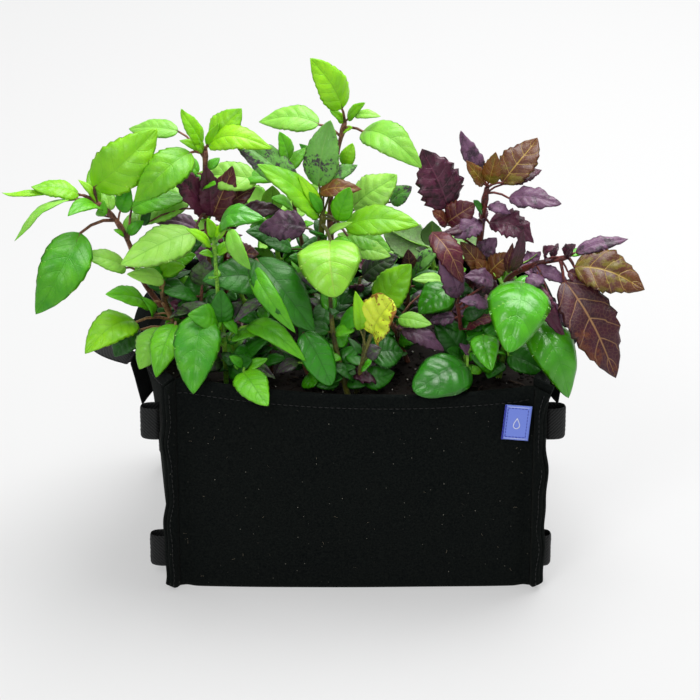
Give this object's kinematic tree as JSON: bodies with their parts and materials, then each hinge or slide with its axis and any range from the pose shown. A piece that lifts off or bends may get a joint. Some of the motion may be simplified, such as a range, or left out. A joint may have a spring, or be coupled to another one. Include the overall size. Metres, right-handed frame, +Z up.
{
  "type": "potted basil in a grow bag",
  "caption": "Rectangular felt grow bag with corner webbing loops and two side handles, filled with potting mix and planted with mixed green and purple basil.",
  "frame": {"origin": "centre of the bag's base on the surface that it stands on", "axes": "+Z up out of the bag, -Y towards the labelled front wall, +X to the right of a viewer who faces the front"},
  "size_m": [0.4966, 0.2506, 0.4085],
  "materials": {
    "felt": "needle-punched black felt, matt and fuzzy",
    "webbing": "black woven polypropylene webbing, ribbed",
    "label": "blue woven damask label with a pale border",
    "potting_mix": "dark moist peat and wood-fibre potting mix with white perlite",
    "root_ball": "brown peat plug bound by fine roots",
    "sweet_basil": "living leaf, bright green, satin",
    "variegated_basil": "living leaf, grey-green with purple speckle, satin",
    "glossy_basil": "living leaf, deep green, puffed and glossy",
    "purple_basil": "living leaf, dark purple with a mauve sheen",
    "dying_leaf": "yellow leaf with brown margins"
  },
  "bodies": {
    "root": {"front_panel": "felt", "back_panel": "felt", "left_side_panel": "felt", "right_side_panel": "felt", "base_panel": "felt", "left_front_upper_loop": "webbing", "left_front_lower_loop": "webbing", "left_back_upper_loop": "webbing", "left_back_lower_loop": "webbing", "right_front_upper_loop": "webbing", "right_front_lower_loop": "webbing", "right_back_upper_loop": "webbing", "right_back_lower_loop": "webbing", "left_handle": "webbing", "right_handle": "webbing", "woven_label": "label", "potting_mix": "potting_mix", "left_root_ball": "root_ball", "front_left_root_ball": "root_ball", "centre_root_ball": "root_ball", "front_centre_root_ball": "root_ball", "middle_right_root_ball": "root_ball", "right_root_ball": "root_ball", "back_left_root_ball": "root_ball", "back_right_root_ball": "root_ball", "left_sweet_basil_shoot": "sweet_basil", "left_rim_shoot": "sweet_basil", "front_left_shoot": "sweet_basil", "top_left_shoot": "sweet_basil", "top_centre_shoot": "sweet_basil", "arching_leaf_shoot": "sweet_basil", "rim_seedling": "sweet_basil", "middle_right_shoot": "sweet_basil", "back_left_shoot": "sweet_basil", "centre_shoot": "variegated_basil", "back_right_shoot": "variegated_basil", "centre_dark_shoot": "glossy_basil", "low_front_seedling": "glossy_basil", "broad_leaf_shoot": "glossy_basil", "glossy_right_shoot": "glossy_basil", "purple_centre_shoot": "purple_basil", "purple_tall_shoot": "purple_basil", "purple_side_shoot": "purple_basil", "yellow_leaf_shoot": "dying_leaf"}
  },
  "joints": []
}
